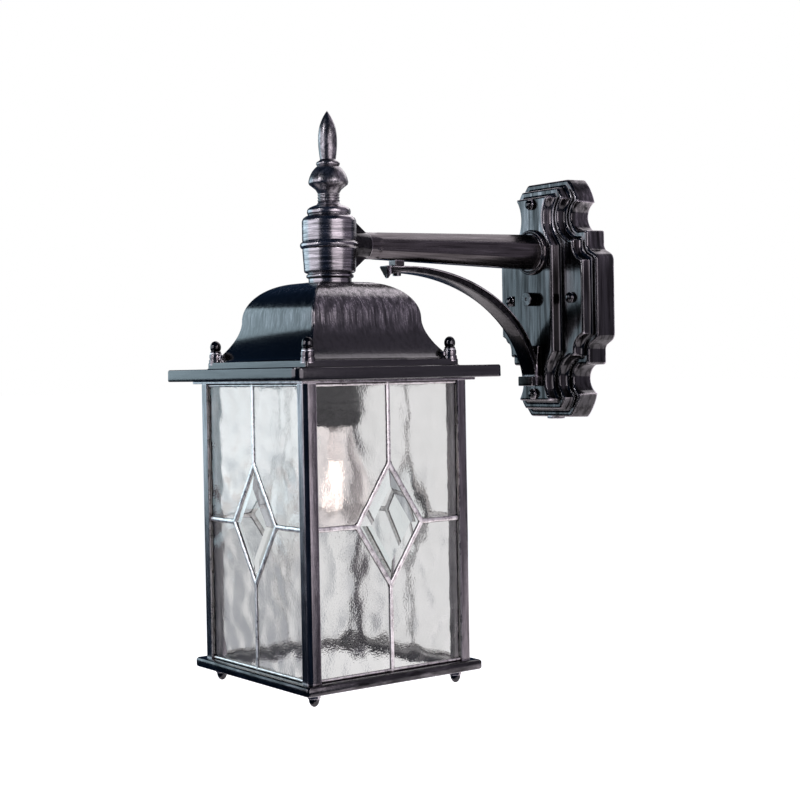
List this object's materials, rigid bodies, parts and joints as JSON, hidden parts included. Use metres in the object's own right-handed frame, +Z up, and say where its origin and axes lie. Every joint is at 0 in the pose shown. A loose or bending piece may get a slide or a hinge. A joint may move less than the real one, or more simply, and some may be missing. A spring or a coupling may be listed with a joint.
{
  "type": "outdoor wall lantern",
  "caption": "Outdoor wall lantern: square leaded-glass cage under an ogee roof, hung from a tapered arm and curved brace on a stepped wall plate; lamp and roof knobs unscrew.",
  "frame": {"origin": "centre of the wall plate's back, on the wall", "axes": "+Z up, +Y into the wall, the lantern stands out along -Y, +X to the right seen from the room"},
  "size_m": [0.1814, 0.3292, 0.4249],
  "materials": {
    "iron": "glossy black enamel with silver dry-brushed edges",
    "knob": "glossy black enamel with silver highlights",
    "steel": "zinc plated",
    "came": "aged lead, dull silver",
    "water_glass": "clear water glass with a rippled back",
    "bevelled_glass": "polished clear glass, bevelled edge",
    "lamp_glass": "clear lamp glass",
    "filament": "lit filament rods",
    "brass": "plain",
    "bakelite": "black moulded plastic",
    "wire": "insulated leads"
  },
  "bodies": {
    "bracket_and_roof": {"wall_strap": "steel", "strap_studs": "steel", "earth_screw": "brass", "terminal_block": "bakelite", "wall_plate": "iron", "plate_nuts": "iron", "centre_nut": "iron", "arm": "iron", "arm_collar": "iron", "arm_tube": "brass", "arm_nuts": "brass", "brace": "iron", "brace_screw": "steel", "hub": "iron", "finial": "iron", "stem_tube": "brass", "stem_nuts": "brass", "roof": "iron", "lead_wires": "wire", "holder_body": "bakelite", "holder_shell": "brass", "holder_contact": "brass", "shade_ring": "bakelite"},
    "cage": {"cage_top": "iron", "cage_base": "iron", "tie_rods": "steel", "base_nuts": "iron", "post_front_left": "iron", "post_front_right": "iron", "post_back_right": "iron", "post_back_left": "iron", "glass_front": "water_glass", "glass_right": "water_glass", "glass_back": "water_glass", "glass_left": "water_glass", "diamond_front": "bevelled_glass", "diamond_right": "bevelled_glass", "diamond_back": "bevelled_glass", "diamond_left": "bevelled_glass", "came_front": "came", "came_right": "came", "came_back": "came", "came_left": "came"},
    "lamp_tip": {"lamp_tip": "brass"},
    "lamp": {"lamp_cap": "steel", "lamp_glass": "lamp_glass", "lamp_stem": "lamp_glass", "lamp_filament": "filament"},
    "washer_front_left": {"washer_front_left": "steel"},
    "knob_front_left": {"knob_front_left": "knob"},
    "washer_front_right": {"washer_front_right": "steel"},
    "knob_front_right": {"knob_front_right": "knob"},
    "washer_back_right": {"washer_back_right": "steel"},
    "knob_back_right": {"knob_back_right": "knob"},
    "washer_back_left": {"washer_back_left": "steel"},
    "knob_back_left": {"knob_back_left": "knob"}
  },
  "joints": [
    {"name": "cage_drop", "type": "slide", "parent": "bracket_and_roof", "child": "cage", "axis": [0, 0, -1], "range_m": [0, 0.24]},
    {"name": "lamp_travel", "type": "slide", "parent": "bracket_and_roof", "child": "lamp_tip", "axis": [0, 0, -1], "range_m": [0, 0.018]},
    {"name": "lamp_turn", "type": "hinge", "parent": "lamp_tip", "child": "lamp", "pos_m": [0, -0.2385, -0.082], "axis": [0, 0, -1], "range_deg": [0, 1800]},
    {"name": "knob_front_left_travel", "type": "slide", "parent": "bracket_and_roof", "child": "washer_front_left", "axis": [0, 0, 1], "range_m": [0, 0.0079]},
    {"name": "knob_front_left_turn", "type": "hinge", "parent": "washer_front_left", "child": "knob_front_left", "pos_m": [-0.0626, -0.3011, -0.037], "axis": [0, 0, 1], "range_deg": [0, 3600]},
    {"name": "knob_front_right_travel", "type": "slide", "parent": "bracket_and_roof", "child": "washer_front_right", "axis": [0, 0, 1], "range_m": [0, 0.0079]},
    {"name": "knob_front_right_turn", "type": "hinge", "parent": "washer_front_right", "child": "knob_front_right", "pos_m": [0.0626, -0.3011, -0.037], "axis": [0, 0, 1], "range_deg": [0, 3600]},
    {"name": "knob_back_right_travel", "type": "slide", "parent": "bracket_and_roof", "child": "washer_back_right", "axis": [0, 0, 1], "range_m": [0, 0.0079]},
    {"name": "knob_back_right_turn", "type": "hinge", "parent": "washer_back_right", "child": "knob_back_right", "pos_m": [0.0626, -0.1759, -0.037], "axis": [0, 0, 1], "range_deg": [0, 3600]},
    {"name": "knob_back_left_travel", "type": "slide", "parent": "bracket_and_roof", "child": "washer_back_left", "axis": [0, 0, 1], "range_m": [0, 0.0079]},
    {"name": "knob_back_left_turn", "type": "hinge", "parent": "washer_back_left", "child": "knob_back_left", "pos_m": [-0.0626, -0.1759, -0.037], "axis": [0, 0, 1], "range_deg": [0, 3600]}
  ],
  "couplings": [
    {"joint": "lamp_turn", "follows": "lamp_travel", "rad_per_m": 1731.4},
    {"joint": "knob_front_left_turn", "follows": "knob_front_left_travel", "rad_per_m": 7854},
    {"joint": "knob_front_right_turn", "follows": "knob_front_right_travel", "rad_per_m": 7854},
    {"joint": "knob_back_right_turn", "follows": "knob_back_right_travel", "rad_per_m": 7854},
    {"joint": "knob_back_left_turn", "follows": "knob_back_left_travel", "rad_per_m": 7854}
  ]
}
